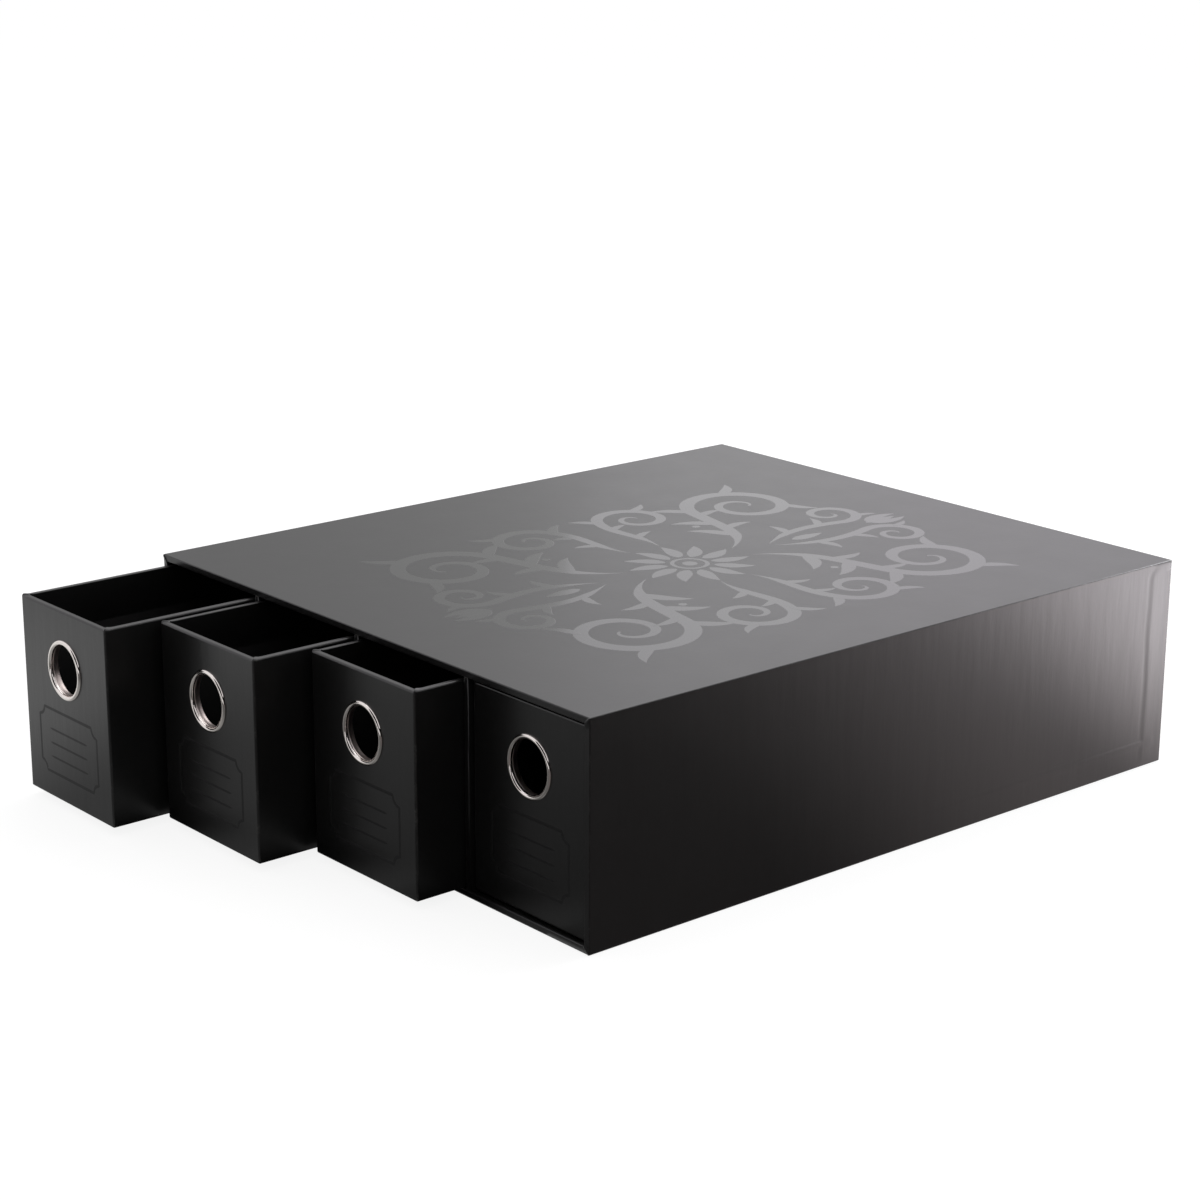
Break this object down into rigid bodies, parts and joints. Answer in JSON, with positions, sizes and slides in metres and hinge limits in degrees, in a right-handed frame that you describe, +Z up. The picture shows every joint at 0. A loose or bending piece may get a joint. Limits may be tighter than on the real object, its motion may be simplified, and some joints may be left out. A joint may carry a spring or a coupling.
{
  "type": "trading card drawer box",
  "caption": "Low paper-covered card storage case, open at the front, with long open-top drawers side by side, each with a metal finger ring.",
  "frame": {"origin": "middle of the case's underside, on the surface it stands on", "axes": "+Z up, +Y into the depth so that the open front and the drawer fronts face -Y, +X to the right seen from the front"},
  "size_m": [0.325, 0.4581, 0.105],
  "materials": {
    "greyboard": "matte",
    "covering_paper": "satin",
    "lining_paper": "matte",
    "gummed_tape": "matte",
    "nickel_ring": "polished"
  },
  "bodies": {
    "case": {"case_bottom_board": "greyboard", "case_top_board": "greyboard", "case_left_board": "greyboard", "case_right_board": "greyboard", "case_back_board": "greyboard", "case_corner_stays": "gummed_tape", "case_wrap": "covering_paper", "case_lining": "lining_paper", "case_base_paper": "covering_paper", "case_back_paper": "covering_paper", "partition_1_board": "greyboard", "partition_1_paper": "covering_paper", "partition_2_board": "greyboard", "partition_2_paper": "covering_paper", "partition_3_board": "greyboard", "partition_3_paper": "covering_paper"},
    "drawer_1": {"drawer_1_front_board": "greyboard", "drawer_1_back_board": "greyboard", "drawer_1_left_board": "greyboard", "drawer_1_right_board": "greyboard", "drawer_1_bottom_board": "greyboard", "drawer_1_paper": "covering_paper", "drawer_1_lining": "lining_paper", "drawer_1_finger_ring": "nickel_ring"},
    "drawer_2": {"drawer_2_front_board": "greyboard", "drawer_2_back_board": "greyboard", "drawer_2_left_board": "greyboard", "drawer_2_right_board": "greyboard", "drawer_2_bottom_board": "greyboard", "drawer_2_paper": "covering_paper", "drawer_2_lining": "lining_paper", "drawer_2_finger_ring": "nickel_ring"},
    "drawer_3": {"drawer_3_front_board": "greyboard", "drawer_3_back_board": "greyboard", "drawer_3_left_board": "greyboard", "drawer_3_right_board": "greyboard", "drawer_3_bottom_board": "greyboard", "drawer_3_paper": "covering_paper", "drawer_3_lining": "lining_paper", "drawer_3_finger_ring": "nickel_ring"},
    "drawer_4": {"drawer_4_front_board": "greyboard", "drawer_4_back_board": "greyboard", "drawer_4_left_board": "greyboard", "drawer_4_right_board": "greyboard", "drawer_4_bottom_board": "greyboard", "drawer_4_paper": "covering_paper", "drawer_4_lining": "lining_paper", "drawer_4_finger_ring": "nickel_ring"}
  },
  "joints": [
    {"name": "drawer_1_slide", "type": "slide", "parent": "case", "child": "drawer_1", "axis": [0, -1, 0], "range_m": [-0.0834, 0.2946]},
    {"name": "drawer_2_slide", "type": "slide", "parent": "case", "child": "drawer_2", "axis": [0, -1, 0], "range_m": [-0.0564, 0.3216]},
    {"name": "drawer_3_slide", "type": "slide", "parent": "case", "child": "drawer_3", "axis": [0, -1, 0], "range_m": [-0.0284, 0.3496]},
    {"name": "drawer_4_slide", "type": "slide", "parent": "case", "child": "drawer_4", "axis": [0, -1, 0], "range_m": [0, 0.378]}
  ]
}
